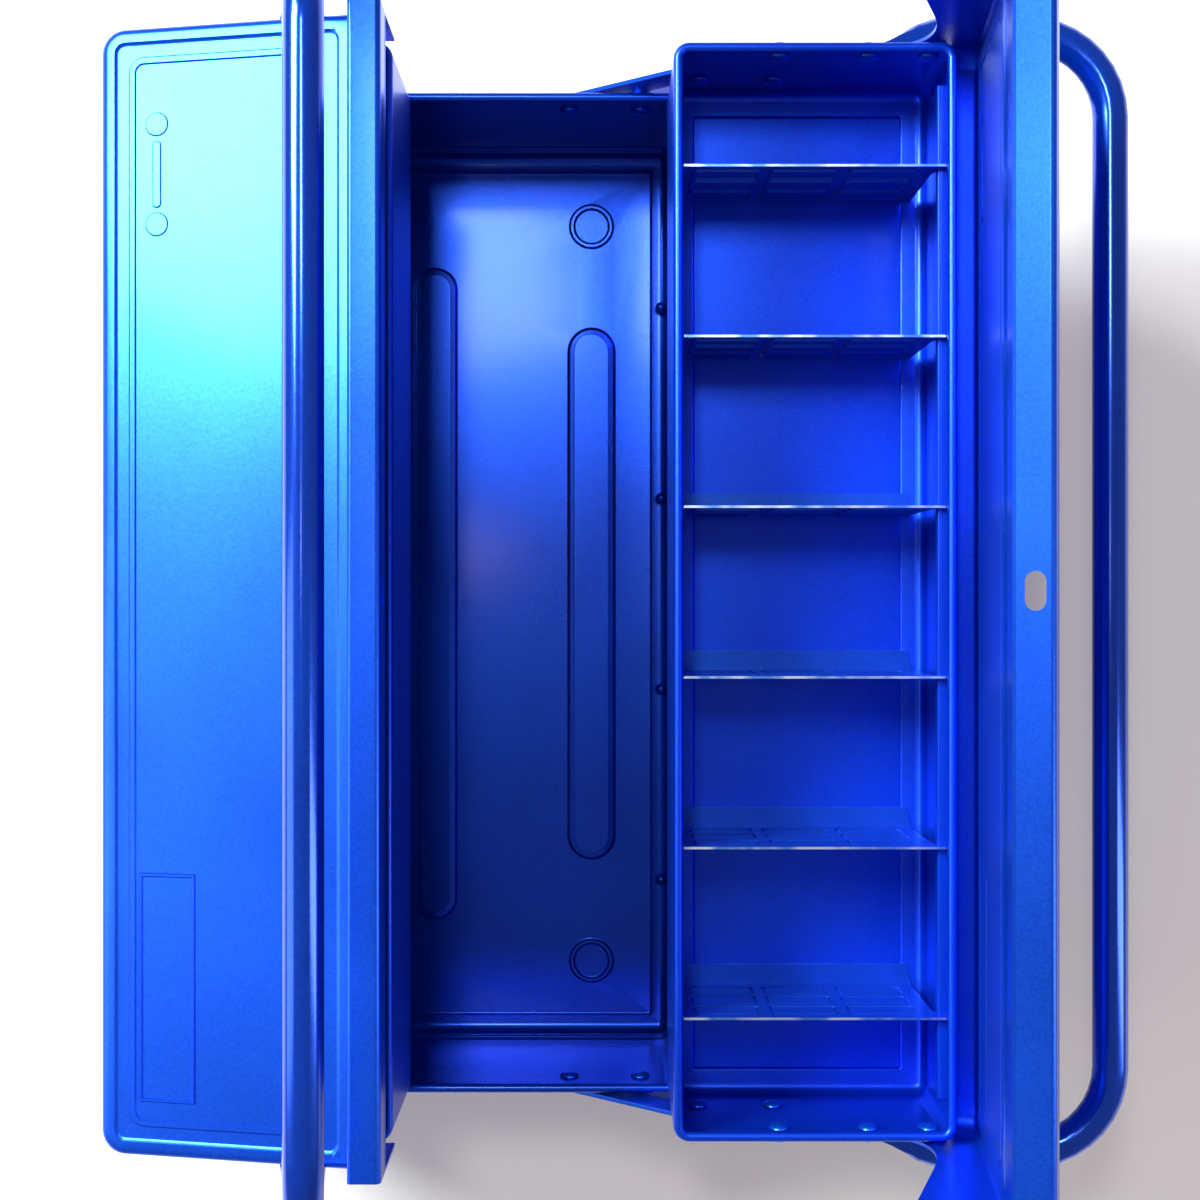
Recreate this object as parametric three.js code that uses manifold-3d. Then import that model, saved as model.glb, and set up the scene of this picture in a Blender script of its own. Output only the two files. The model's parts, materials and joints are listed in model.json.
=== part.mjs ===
// A cantilever steel toolbox: a deep base, two lidded trays that swing out on parallel links,
// and two tubular carrying handles whose flattened ends are the outer links.
// Millimetres, +Z up. X runs across the box, Y along it, origin under the middle of the base.
// The left tray is shut and the right one swung open.
import * as THREE from 'three';
import { mergeVertices } from 'three/addons/utils/BufferGeometryUtils.js';
import Module from 'manifold-3d';

const wasm = await Module();
wasm.setup();

// ---- driving dimensions ----
const BOX_LENGTH = 412; // base and trays, along Y
const BASE_WIDTH = 220;
const BASE_HEIGHT = 112;
const SHEET = 1.2; // steel sheet
const CORNER = 6; // upright corners of the base and trays
const CURL_WIDTH = 2.6; // rolled rim, turned inward
const CURL_HEIGHT = 3.2;

const TRAY_WIDTH = 106.5;
const TRAY_HEIGHT = 70;
const TRAY_LIFT = 1.5; // air between the base's rim and a tray
const CENTRE_GAP = 0.5; // from the centre plane to a shut tray

const DIVIDER_COUNT = 6;
const DIVIDER_PITCH = 64.2;
const DIVIDER_SHEET = 1;
const DIVIDER_DROP = 4.2; // top edge below the rim
const DIVIDER_FIT = 0.4;
const DIVIDER_FOOT = 10; // folded foot on the tray's floor

const LID_RISE = 24; // the lid climbs towards the middle of the box
const LID_CLEARANCE = 2; // over the tray's rim
const LID_SKIRT = 11; // how far the skirt hangs below the lid's outer edge
const LID_END_CLEARANCE = 2.1; // from the tray's end to the lid's end skirt
const LID_SIDE_CLEARANCE = 0.7;
const LID_CORNER = 9;
const CREST_HEIGHT = 13; // upstanding lip along the lid's inner edge
const CREST_WIDTH = 12;
const HASP_HOLE_LENGTH = 13;
const HASP_HOLE_WIDTH = 7;
const LID_PIVOT_INSET = 8.5; // from the tray's outer wall
const LID_PIVOT_DROP = 15.5; // below the rim
const EAR_RADIUS = 7.5;
const EAR_RUN = 38; // length of the ear's slope back up to the skirt
const EAR_KNEE = EAR_RUN / 3; // from the pivot to where the slope turns level
const EAR_WRAP = 2.2; // radians that the ear's round end goes under the pivot
const LID_SWING = 72; // degrees, shut to open

const HALF_SWING = 48; // degrees each way from upright
const TRAY_TRAVEL = 104; // shut to open, along X
const LINK_PIVOT_X = 12; // inner link's tray pivot, from the centre plane with the tray shut
const HANDLE_PIVOT_X = 42; // handle's tray pivot, likewise
const BASE_PIVOT_DROP = 24; // below the base's rim
const LINK_WIDTH = 14;
const LINK_THICKNESS = 2;
const LINK_GAP = 1; // from the base's end to the link
const STRAP_THICKNESS = 1.5;
const STRAP_WIDTH = 14;
const STRAP_GAP = 0.3;
const STRAP_RUN = 57; // from the strap's inner rivet to the lid pivot
const STRAP_RIVET_PITCH = 34;

const TUBE_DIAMETER = 14;
const HANDLE_REACH = 133; // tray pivot to the grip's centre
const HANDLE_SHUT_ANGLE = 99; // degrees above the outward horizontal, tray shut
const HANDLE_FLAT_WIDTH = 18;
const HANDLE_FLAT_THICKNESS = 3;
const HANDLE_GAP = 6; // from the base's end to the flattened arm
const HANDLE_FLAT_RUN = 42; // flattened length past the tray pivot
const HANDLE_FLARE_RUN = 26; // length over which the tube steps out
const FLARE_LEAD = 16; // the tube is round this far before its outset ends
const HANDLE_CORNER = 34; // bend between arm and grip
const TUBE_OUTSET = 8; // tube's centreline outside the flattened arm's

const RIVET_RADIUS = 2.6;
const RIVET_HEAD_RADIUS = 4;
const RIVET_HEAD_HEIGHT = 1.8;
const DOME_SHOULDER = 0.7; // share of the head's radius where the dome turns over
const DOME_RISE = 0.75; // share of the head's height there
const SHOULDER_RADIUS = 4.4;
const CLEAR = 0.3; // running gap between neighbouring pieces
const ROUND_STEPS = 5; // facets in a quarter of a corner
const TUBE_SIDES = 10;
const TUBE_STEPS = 54; // sections along a handle
const RIVET_SIDES = 8;

// ---- values worked out from them ----
const END = BOX_LENGTH / 2;
const TRAY_FLOOR = BASE_HEIGHT + TRAY_LIFT;
const TRAY_RIM = TRAY_FLOOR + TRAY_HEIGHT;
const TRAY_OUTER = CENTRE_GAP + TRAY_WIDTH;
const HALF_SWING_RAD = THREE.MathUtils.degToRad(HALF_SWING);
const LINK_LENGTH = TRAY_TRAVEL / (2 * Math.sin(HALF_SWING_RAD));
const BASE_PIVOT_Z = BASE_HEIGHT - BASE_PIVOT_DROP;
const TRAY_PIVOT_Z = BASE_PIVOT_Z + LINK_LENGTH * Math.cos(HALF_SWING_RAD);
const LINK_BASE_X = LINK_PIVOT_X + TRAY_TRAVEL / 2;
const HANDLE_BASE_X = HANDLE_PIVOT_X + TRAY_TRAVEL / 2;
const LID_PIVOT_X = TRAY_OUTER - LID_PIVOT_INSET;
const LID_PIVOT_Z = TRAY_RIM - LID_PIVOT_DROP;
const HOLE_RADIUS = RIVET_RADIUS + CLEAR;
const LINK_INNER = END + LINK_GAP;
const HANDLE_INNER = END + HANDLE_GAP;
const STRAP_INNER = END + STRAP_GAP;
const STRAP_RIVET_X = LID_PIVOT_X - STRAP_RUN;
const LID_END = END + LID_END_CLEARANCE + SHEET;
const LID_OUTER = TRAY_OUTER + LID_SIDE_CLEARANCE + SHEET;
const LID_EDGE_Z = TRAY_RIM + LID_CLEARANCE + SHEET;
const LID_INNER_Z = LID_EDGE_Z + LID_RISE;

// ---- materials ----
function paint(color, roughness) {
  return new THREE.MeshStandardMaterial({ color, roughness, metalness: 0.7 });
}
const bodyPaint = paint(0x0a3fd0, 0.35);
const trayPaint = paint(0x0b45dc, 0.38);
const dividerPaint = paint(0x0c3bb0, 0.4);
const handlePaint = paint(0x0836c0, 0.25);
const linkPaint = paint(0x0932a8, 0.35);
const rivetPaint = paint(0x0a3cc4, 0.3);

// ---- solids ----
function solidOf(geometry) {
  const bare = geometry.clone();
  bare.deleteAttribute('normal');
  bare.deleteAttribute('uv');
  const merged = mergeVertices(bare, 1e-4);
  const vertProperties = new Float32Array(merged.attributes.position.array);
  const triVerts = new Uint32Array(merged.index.array);
  return new wasm.Manifold(new wasm.Mesh({ numProp: 3, vertProperties, triVerts }));
}

function geometryOf(solid) {
  const mesh = solid.getMesh();
  const geometry = new THREE.BufferGeometry();
  geometry.setAttribute('position', new THREE.BufferAttribute(mesh.vertProperties, 3));
  geometry.setIndex(new THREE.BufferAttribute(mesh.triVerts, 1));
  geometry.computeVertexNormals();
  return geometry;
}

function roundedRect(x0, y0, x1, y1, radius) {
  const shape = new THREE.Shape();
  shape.moveTo(x0 + radius, y0);
  shape.lineTo(x1 - radius, y0);
  shape.absarc(x1 - radius, y0 + radius, radius, -Math.PI / 2, 0);
  shape.lineTo(x1, y1 - radius);
  shape.absarc(x1 - radius, y1 - radius, radius, 0, Math.PI / 2);
  shape.lineTo(x0 + radius, y1);
  shape.absarc(x0 + radius, y1 - radius, radius, Math.PI / 2, Math.PI);
  shape.lineTo(x0, y0 + radius);
  shape.absarc(x0 + radius, y0 + radius, radius, Math.PI, Math.PI * 1.5);
  return shape;
}

// A flat outline in X and Y, raised from z0 to z1.
function upright(shape, z0, z1) {
  const geometry = new THREE.ExtrudeGeometry(shape, {
    depth: z1 - z0, bevelEnabled: false, curveSegments: ROUND_STEPS,
  });
  geometry.translate(0, 0, z0);
  return solidOf(geometry);
}

// A flat outline in X and Z, drawn out along Y from y0 to y1.
function across(shape, y0, y1) {
  const geometry = new THREE.ExtrudeGeometry(shape, {
    depth: y1 - y0, bevelEnabled: false, curveSegments: ROUND_STEPS,
  });
  geometry.rotateX(Math.PI / 2);
  geometry.translate(0, y1, 0);
  return solidOf(geometry);
}

function polygon(points) {
  return new THREE.Shape(points.map(([x, y]) => new THREE.Vector2(x, y)));
}

// A plate at one end of the box: between two distances from the middle, at the given end.
function endPlate(shape, inner, outer, end) {
  return end > 0 ? across(shape, inner, outer) : across(shape, -outer, -inner);
}

function circle(x, z, radius) {
  const shape = new THREE.Shape();
  shape.absarc(x, z, radius, 0, Math.PI * 2);
  return shape;
}

// A strip with round ends between two pivots.
function strip(ax, az, bx, bz, width) {
  const turn = Math.atan2(bz - az, bx - ax);
  const shape = new THREE.Shape();
  shape.absarc(ax, az, width / 2, turn + Math.PI / 2, turn + Math.PI * 1.5);
  shape.absarc(bx, bz, width / 2, turn - Math.PI / 2, turn + Math.PI / 2);
  return shape;
}

function drill(solid, x, z, inner, outer, end) {
  return solid.subtract(endPlate(circle(x, z, HOLE_RADIUS), inner, outer, end));
}

// A folded tub with rounded corners and a rim curled inward.
function tub(x0, x1, floorZ, rimZ) {
  const curl = SHEET + CURL_WIDTH;
  const inside = roundedRect(x0 + SHEET, SHEET - END, x1 - SHEET, END - SHEET, CORNER - SHEET);
  const mouth = roundedRect(x0 + curl, curl - END, x1 - curl, END - curl, CORNER - curl);
  const outside = upright(roundedRect(x0, -END, x1, END, CORNER), floorZ, rimZ);
  const hollow = upright(inside, floorZ + SHEET, rimZ - CURL_HEIGHT);
  const opening = upright(mouth, rimZ - CURL_HEIGHT - SHEET, rimZ + SHEET);
  return outside.subtract(hollow).subtract(opening);
}

// A domed rivet along Y, from its inside head to its outside head, with an optional shoulder.
function rivet(x, z, innerFace, outerFace, end, shoulder) {
  const head = RIVET_HEAD_HEIGHT;
  const profile = [
    [0, innerFace - head], [RIVET_HEAD_RADIUS * DOME_SHOULDER, innerFace - head * DOME_RISE],
    [RIVET_HEAD_RADIUS, innerFace], [RIVET_RADIUS, innerFace],
  ];
  if (shoulder) {
    profile.push([RIVET_RADIUS, shoulder[0]], [SHOULDER_RADIUS, shoulder[0]]);
    profile.push([SHOULDER_RADIUS, shoulder[1]], [RIVET_RADIUS, shoulder[1]]);
  }
  profile.push([RIVET_RADIUS, outerFace], [RIVET_HEAD_RADIUS, outerFace]);
  profile.push([RIVET_HEAD_RADIUS * DOME_SHOULDER, outerFace + head * DOME_RISE], [0, outerFace + head]);
  const geometry = new THREE.LatheGeometry(
    profile.map(([r, y]) => new THREE.Vector2(r, y)), RIVET_SIDES,
  );
  if (end < 0) geometry.rotateX(Math.PI);
  geometry.translate(x, 0, z);
  return geometry;
}

// ---- scene ----
const toolbox = new THREE.Group();

function add(parent, name, geometry, material) {
  const mesh = new THREE.Mesh(geometry, material);
  mesh.name = name;
  parent.add(mesh);
}

// A group whose contents, drawn in their shut place, are turned outward about a pivot.
function turned(parent, x, z, angle) {
  const hinge = new THREE.Group();
  hinge.position.set(x, 0, z);
  hinge.rotation.y = angle;
  const contents = new THREE.Group();
  contents.position.set(-x, 0, -z);
  hinge.add(contents);
  parent.add(hinge);
  return contents;
}

const ENDS = [['front', -1], ['back', 1]];
const INNER_FACE = END - SHEET - CLEAR;

function base() {
  let solid = tub(-BASE_WIDTH / 2, BASE_WIDTH / 2, 0, BASE_HEIGHT);
  for (const [, end] of ENDS) {
    for (const x of [-HANDLE_BASE_X, -LINK_BASE_X, LINK_BASE_X, HANDLE_BASE_X]) {
      solid = drill(solid, x, BASE_PIVOT_Z, END - 2 * SHEET, END + SHEET, end);
    }
  }
  return solid;
}

function tray(side) {
  const edges = [side * CENTRE_GAP, side * TRAY_OUTER].sort((a, b) => a - b);
  let solid = tub(edges[0], edges[1], TRAY_FLOOR, TRAY_RIM);
  const holes = [
    [LINK_PIVOT_X, TRAY_PIVOT_Z], [HANDLE_PIVOT_X, TRAY_PIVOT_Z], [LID_PIVOT_X, LID_PIVOT_Z],
    [STRAP_RIVET_X, LID_PIVOT_Z], [STRAP_RIVET_X + STRAP_RIVET_PITCH, LID_PIVOT_Z],
  ];
  for (const [, end] of ENDS) {
    for (const [x, z] of holes) {
      solid = drill(solid, side * x, z, END - 2 * SHEET, END + SHEET, end);
    }
  }
  return solid;
}

// An L-shaped sheet: the upright partition with a folded foot.
function divider(side, y) {
  const x0 = CENTRE_GAP + SHEET + DIVIDER_FIT;
  const x1 = TRAY_OUTER - SHEET - DIVIDER_FIT;
  const xs = [side * x0, side * x1].sort((a, b) => a - b);
  const z0 = TRAY_FLOOR + SHEET + CLEAR;
  const z1 = TRAY_RIM - DIVIDER_DROP;
  const wall = polygon([[xs[0], z0], [xs[1], z0], [xs[1], z1], [xs[0], z1]]);
  const foot = polygon([
    [xs[0], z0], [xs[1], z0], [xs[1], z0 + DIVIDER_SHEET], [xs[0], z0 + DIVIDER_SHEET],
  ]);
  const half = DIVIDER_SHEET / 2;
  return across(wall, y - half, y + half).add(across(foot, y - half, y + DIVIDER_FOOT));
}

function lidOutline(side, inset) {
  const skirtZ = LID_EDGE_Z - LID_SKIRT - (inset ? SHEET : 0);
  return polygon([
    [side * CENTRE_GAP, skirtZ], [side * (LID_OUTER - inset), skirtZ],
    [side * (LID_OUTER - inset), LID_EDGE_Z - inset], [side * CENTRE_GAP, LID_INNER_Z - inset],
  ]);
}

function lidPlan(side, inset) {
  const reach = LID_OUTER - inset;
  const end = LID_END - inset;
  const round = LID_CORNER - inset;
  const shape = new THREE.Shape();
  shape.moveTo(0, -end);
  shape.lineTo(side * (reach - round), -end);
  shape.absarc(
    side * (reach - round), round - end, round, -Math.PI / 2, side > 0 ? 0 : -Math.PI, side < 0,
  );
  shape.lineTo(side * reach, end - round);
  shape.absarc(
    side * (reach - round), end - round, round, side > 0 ? 0 : Math.PI, Math.PI / 2, side < 0,
  );
  shape.lineTo(0, end);
  return shape;
}

function ear(side) {
  const skirtZ = LID_EDGE_Z - LID_SKIRT;
  const x = LID_PIVOT_X;
  const shape = new THREE.Shape();
  shape.moveTo(side * (x + EAR_RADIUS), skirtZ + 2 * SHEET);
  shape.lineTo(side * (x + EAR_RADIUS), LID_PIVOT_Z);
  shape.absarc(
    side * x, LID_PIVOT_Z, EAR_RADIUS,
    side > 0 ? 0 : Math.PI, side > 0 ? -EAR_WRAP : Math.PI + EAR_WRAP, side > 0,
  );
  shape.quadraticCurveTo(side * (x - EAR_KNEE), skirtZ, side * (x - EAR_RUN), skirtZ);
  shape.lineTo(side * (x - EAR_RUN), skirtZ + 2 * SHEET);
  return shape;
}

function lid(side) {
  const outer = across(lidOutline(side, 0), -LID_END, LID_END)
    .intersect(upright(lidPlan(side, 0), 0, LID_INNER_Z + 1));
  const inner = across(lidOutline(side, SHEET), SHEET - LID_END, LID_END - SHEET)
    .intersect(upright(lidPlan(side, SHEET), 0, LID_INNER_Z + 1));
  let solid = outer.subtract(inner);
  const x0 = CENTRE_GAP;
  const top = LID_INNER_Z + CREST_HEIGHT;
  const crest = polygon([
    [side * x0, LID_INNER_Z - SHEET], [side * (x0 + SHEET), LID_INNER_Z - 1.5 * SHEET],
    [side * (x0 + SHEET), top - SHEET], [side * (x0 + CREST_WIDTH), top - SHEET],
    [side * (x0 + CREST_WIDTH), top], [side * x0, top],
  ]);
  solid = solid.add(across(crest, -LID_END, LID_END));
  for (const [, end] of ENDS) {
    solid = solid.add(endPlate(ear(side), LID_END - SHEET, LID_END, end));
    solid = drill(
      solid, side * LID_PIVOT_X, LID_PIVOT_Z, LID_END - 2 * SHEET, LID_END + SHEET, end,
    );
  }
  const holeZ = LID_INNER_Z + CREST_HEIGHT / 2 - SHEET / 2;
  const half = HASP_HOLE_WIDTH / 2;
  const reach = HASP_HOLE_LENGTH / 2;
  const slot = roundedRect(-reach, holeZ - half, reach, holeZ + half, half - 0.01);
  const cutter = new THREE.ExtrudeGeometry(
    slot, { depth: 4 * SHEET, bevelEnabled: false, curveSegments: 4 },
  );
  cutter.rotateX(Math.PI / 2);
  cutter.rotateZ(Math.PI / 2);
  cutter.translate(side * x0 - 2 * SHEET, 0, 0);
  return solid.subtract(solidOf(cutter));
}

function link(side, end) {
  const shape = strip(
    side * LINK_BASE_X, BASE_PIVOT_Z, side * LINK_PIVOT_X, TRAY_PIVOT_Z, LINK_WIDTH,
  );
  const outer = LINK_INNER + LINK_THICKNESS;
  let solid = endPlate(shape, LINK_INNER, outer, end);
  solid = drill(solid, side * LINK_BASE_X, BASE_PIVOT_Z, LINK_INNER - 1, outer + 1, end);
  return drill(solid, side * LINK_PIVOT_X, TRAY_PIVOT_Z, LINK_INNER - 1, outer + 1, end);
}

function strap(side, end) {
  const outer = STRAP_INNER + STRAP_THICKNESS;
  const shape = strip(
    side * STRAP_RIVET_X, LID_PIVOT_Z, side * LID_PIVOT_X, LID_PIVOT_Z, STRAP_WIDTH,
  );
  let solid = endPlate(shape, STRAP_INNER, outer, end);
  for (const x of [STRAP_RIVET_X, STRAP_RIVET_X + STRAP_RIVET_PITCH, LID_PIVOT_X]) {
    solid = drill(solid, side * x, LID_PIVOT_Z, STRAP_INNER - 1, outer + 1, end);
  }
  return solid;
}

// One bent tube: each end is pressed flat, runs from the base pivot past the tray pivot,
// and opens out into the round tube that carries the grip.
function handle(side) {
  const angle = THREE.MathUtils.degToRad(HANDLE_SHUT_ANGLE);
  const dir = [side * Math.cos(angle), Math.sin(angle)];
  const pivot = [side * HANDLE_PIVOT_X, TRAY_PIVOT_Z];
  const along = (d, y) => new THREE.Vector3(pivot[0] + dir[0] * d, y, pivot[1] + dir[1] * d);
  const flatY = HANDLE_INNER + HANDLE_FLAT_THICKNESS / 2;
  const tubeY = flatY + TUBE_OUTSET;
  const flareEnd = HANDLE_FLAT_RUN + HANDLE_FLARE_RUN;
  const path = new THREE.CurvePath();
  const corner = HANDLE_REACH - HANDLE_CORNER;
  const lead = along(HANDLE_FLAT_RUN - 8, flatY + 1);
  const leadY = lead.y;
  path.add(new THREE.CubicBezierCurve3(
    along(HANDLE_FLAT_RUN - 8, -leadY), along(HANDLE_FLAT_RUN + 8, -leadY),
    along(flareEnd - FLARE_LEAD, -tubeY), along(flareEnd, -tubeY),
  ));
  path.add(new THREE.LineCurve3(along(flareEnd, -tubeY), along(corner, -tubeY)));
  path.add(new THREE.QuadraticBezierCurve3(
    along(corner, -tubeY), along(HANDLE_REACH, -tubeY), along(HANDLE_REACH, HANDLE_CORNER - tubeY),
  ));
  path.add(new THREE.LineCurve3(
    along(HANDLE_REACH, HANDLE_CORNER - tubeY), along(HANDLE_REACH, tubeY - HANDLE_CORNER),
  ));
  path.add(new THREE.QuadraticBezierCurve3(
    along(HANDLE_REACH, tubeY - HANDLE_CORNER), along(HANDLE_REACH, tubeY), along(corner, tubeY),
  ));
  path.add(new THREE.LineCurve3(along(corner, tubeY), along(flareEnd, tubeY)));
  path.add(new THREE.CubicBezierCurve3(
    along(flareEnd, tubeY), along(flareEnd - FLARE_LEAD, tubeY),
    along(HANDLE_FLAT_RUN + 8, leadY), along(HANDLE_FLAT_RUN - 8, leadY),
  ));
  const section = new THREE.Shape();
  section.absarc(0, 0, TUBE_DIAMETER / 2, 0, Math.PI * 2);
  let solid = solidOf(new THREE.ExtrudeGeometry(section, {
    steps: TUBE_STEPS, bevelEnabled: false, extrudePath: path, curveSegments: TUBE_SIDES / 2,
  }));
  const outer = HANDLE_INNER + HANDLE_FLAT_THICKNESS;
  const tip = along(HANDLE_FLAT_RUN, 0);
  // nothing of the tube reaches inside the flattened arms' inner faces
  const keepOut = polygon([
    [-BASE_WIDTH, 0], [BASE_WIDTH, 0],
    [BASE_WIDTH, pivot[1] + flareEnd], [-BASE_WIDTH, pivot[1] + flareEnd],
  ]);
  solid = solid.subtract(across(keepOut, -HANDLE_INNER, HANDLE_INNER));
  for (const [, end] of ENDS) {
    const lower = strip(side * HANDLE_BASE_X, BASE_PIVOT_Z, pivot[0], pivot[1], HANDLE_FLAT_WIDTH);
    const upper = strip(pivot[0], pivot[1], tip.x, tip.z, HANDLE_FLAT_WIDTH);
    solid = solid.add(endPlate(lower, HANDLE_INNER, outer, end));
    solid = solid.add(endPlate(upper, HANDLE_INNER, outer, end));
    solid = drill(solid, side * HANDLE_BASE_X, BASE_PIVOT_Z, HANDLE_INNER - 1, outer + 1, end);
    solid = drill(solid, pivot[0], pivot[1], HANDLE_INNER - 1, outer + 1, end);
  }
  return solid;
}

function buildSide(label, side, open) {
  const swing = open ? side * 2 * HALF_SWING_RAD : 0;
  const trayGroup = new THREE.Group();
  trayGroup.position.x = open ? side * TRAY_TRAVEL : 0;
  toolbox.add(trayGroup);
  const lidAngle = open ? side * THREE.MathUtils.degToRad(LID_SWING) : 0;
  const lidGroup = turned(trayGroup, side * LID_PIVOT_X, LID_PIVOT_Z, lidAngle);
  const linkGroup = turned(toolbox, side * LINK_BASE_X, BASE_PIVOT_Z, swing);
  const handleGroup = turned(toolbox, side * HANDLE_BASE_X, BASE_PIVOT_Z, swing);

  add(trayGroup, `tray_${label}`, geometryOf(tray(side)), trayPaint);
  add(lidGroup, `lid_${label}`, geometryOf(lid(side)), bodyPaint);
  add(handleGroup, `handle_${label}`, geometryOf(handle(side)), handlePaint);
  for (let i = 0; i < DIVIDER_COUNT; i += 1) {
    const y = (i - (DIVIDER_COUNT - 1) / 2) * DIVIDER_PITCH;
    add(trayGroup, `divider_${label}_${i + 1}`, geometryOf(divider(side, y)), dividerPaint);
  }
  const linkOuter = LINK_INNER + LINK_THICKNESS + CLEAR;
  const strapOuter = STRAP_INNER + STRAP_THICKNESS + CLEAR;
  const handleOuter = HANDLE_INNER + HANDLE_FLAT_THICKNESS + CLEAR;
  const shoulder = [END + CLEAR, HANDLE_INNER - CLEAR];
  for (const [place, end] of ENDS) {
    const tag = `${label}_${place}`;
    const pin = (name, group, x, z, outerFace, collar) => add(
      group, `${name}_${tag}`, rivet(side * x, z, INNER_FACE, outerFace, end, collar), rivetPaint,
    );
    add(linkGroup, `inner_link_${tag}`, geometryOf(link(side, end)), linkPaint);
    add(trayGroup, `lid_strap_${tag}`, geometryOf(strap(side, end)), linkPaint);
    pin('link_base_rivet', toolbox, LINK_BASE_X, BASE_PIVOT_Z, linkOuter);
    pin('handle_base_rivet', toolbox, HANDLE_BASE_X, BASE_PIVOT_Z, handleOuter, shoulder);
    pin('link_tray_rivet', trayGroup, LINK_PIVOT_X, TRAY_PIVOT_Z, linkOuter);
    pin('handle_tray_rivet', trayGroup, HANDLE_PIVOT_X, TRAY_PIVOT_Z, handleOuter, shoulder);
    pin('lid_rivet', trayGroup, LID_PIVOT_X, LID_PIVOT_Z, LID_END + CLEAR);
    pin('strap_rivet', trayGroup, STRAP_RIVET_X, LID_PIVOT_Z, strapOuter);
    pin('strap_outer_rivet', trayGroup, STRAP_RIVET_X + STRAP_RIVET_PITCH, LID_PIVOT_Z, strapOuter);
  }
}

add(toolbox, 'base_tub', geometryOf(base()), bodyPaint);
buildSide('left', -1, false);
buildSide('right', 1, true);

export default toolbox;
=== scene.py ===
import json
import math

import bmesh
import bpy
from mathutils import Matrix, Vector


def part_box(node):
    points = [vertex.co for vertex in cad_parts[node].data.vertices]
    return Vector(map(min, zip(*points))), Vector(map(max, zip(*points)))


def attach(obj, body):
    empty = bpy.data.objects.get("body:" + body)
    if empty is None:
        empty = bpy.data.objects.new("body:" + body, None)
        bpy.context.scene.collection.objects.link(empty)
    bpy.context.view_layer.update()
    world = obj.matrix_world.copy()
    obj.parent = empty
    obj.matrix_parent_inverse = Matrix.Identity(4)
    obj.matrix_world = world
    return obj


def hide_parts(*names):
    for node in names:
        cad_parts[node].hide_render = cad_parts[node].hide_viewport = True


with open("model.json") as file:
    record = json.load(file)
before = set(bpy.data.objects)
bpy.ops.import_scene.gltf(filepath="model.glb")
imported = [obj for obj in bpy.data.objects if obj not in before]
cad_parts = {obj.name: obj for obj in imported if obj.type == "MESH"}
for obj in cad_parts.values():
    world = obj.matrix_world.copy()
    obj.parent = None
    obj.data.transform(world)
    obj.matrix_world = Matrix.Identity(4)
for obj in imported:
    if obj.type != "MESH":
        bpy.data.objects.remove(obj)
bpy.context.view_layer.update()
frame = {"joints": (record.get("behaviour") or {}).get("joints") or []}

MM = 0.001

# ---- Studio ----
# A pale floor, one big window-like light from the back left, small lamps and soft fills, and the
# camera looking straight down a little to the right of the base's middle.
CAMERA_PLACE = Vector((0.077, -0.003, 0.900))
CAMERA_LENS = 57.5
SENSOR_WIDTH = 36
EXPOSURE = 0.15
FLOOR_SIZE = 6.0
FLOOR_DROP = 0.0002  # keeps the floor clear of the base's underside

camera_data = bpy.data.cameras.new("camera")
camera_data.lens = CAMERA_LENS
camera_data.sensor_width = SENSOR_WIDTH
camera = bpy.data.objects.new("camera", camera_data)
camera.location = CAMERA_PLACE
bpy.context.scene.collection.objects.link(camera)
bpy.context.scene.camera = camera
bpy.context.scene.view_settings.view_transform = "Standard"
bpy.context.scene.view_settings.exposure = EXPOSURE


def area_light(name, place, target, width, height, power, color):
    """A rectangular lamp at a place, turned towards a target."""
    data = bpy.data.lights.new(name, "AREA")
    data.shape = "RECTANGLE"
    data.size = width
    data.size_y = height
    data.energy = power
    data.color = color
    lamp = bpy.data.objects.new(name, data)
    lamp.location = place
    lamp.rotation_mode = "QUATERNION"
    lamp.rotation_quaternion = (Vector(target) - Vector(place)).to_track_quat("-Z", "Y")
    bpy.context.scene.collection.objects.link(lamp)


area_light("window", (-0.86, 0.62, 1.2), (-0.05, 0.1, 0.15), 0.62, 0.56, 58, (0.85, 0.97, 1))
area_light("ceiling", (-0.06, 0.43, 1.5), (0.02, 0.1, 0), 0.16, 0.26, 4.5, (0.95, 0.98, 1))
area_light("warm_lamp", (-0.08, 0.06, 1.5), (0.02, 0, 0), 0.08, 0.08, 0.3, (1, 0.6, 0.35))
area_light("back_left", (-1.1, -0.2, 0.7), (0, 0, 0.1), 0.5, 0.9, 4, (1, 1, 1))
area_light("side_fill", (1.2, -0.3, 0.8), (0.2, 0, 0.1), 0.2, 0.9, 4, (1, 0.93, 0.88))

world = bpy.data.worlds.new("studio")
bpy.context.scene.world = world
world.use_nodes = True
sky = world.node_tree.nodes["Background"]
sky.inputs["Color"].default_value = (0.86, 0.9, 1.0, 1)
sky.inputs["Strength"].default_value = 0.3

floor_mesh = bmesh.new()
bmesh.ops.create_grid(floor_mesh, x_segments=1, y_segments=1, size=FLOOR_SIZE / 2)
floor_data = bpy.data.meshes.new("floor")
floor_mesh.to_mesh(floor_data)
floor_mesh.free()
floor = bpy.data.objects.new("floor", floor_data)
floor.location = (0, 0, -FLOOR_DROP)
bpy.context.scene.collection.objects.link(floor)
floor_paint = bpy.data.materials.new("pale_floor")
floor_paint.use_nodes = True
floor_shader = floor_paint.node_tree.nodes["Principled BSDF"]
floor_shader.inputs["Base Color"].default_value = (0.86, 0.79, 0.76, 1)
floor_shader.inputs["Roughness"].default_value = 0.7
floor_data.materials.append(floor_paint)


# ---- Base tub ----
# The deep lower box is folded and drawn from 1.2 mm steel, with a rolled rim turned inward, ribs
# and rings pressed up in its floor and weld dimples along it. It is stove-enamelled metallic blue.
SHEET = 1.2 * MM
WALL_CORNER = 6 * MM
CURL = 3.8 * MM
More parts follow.
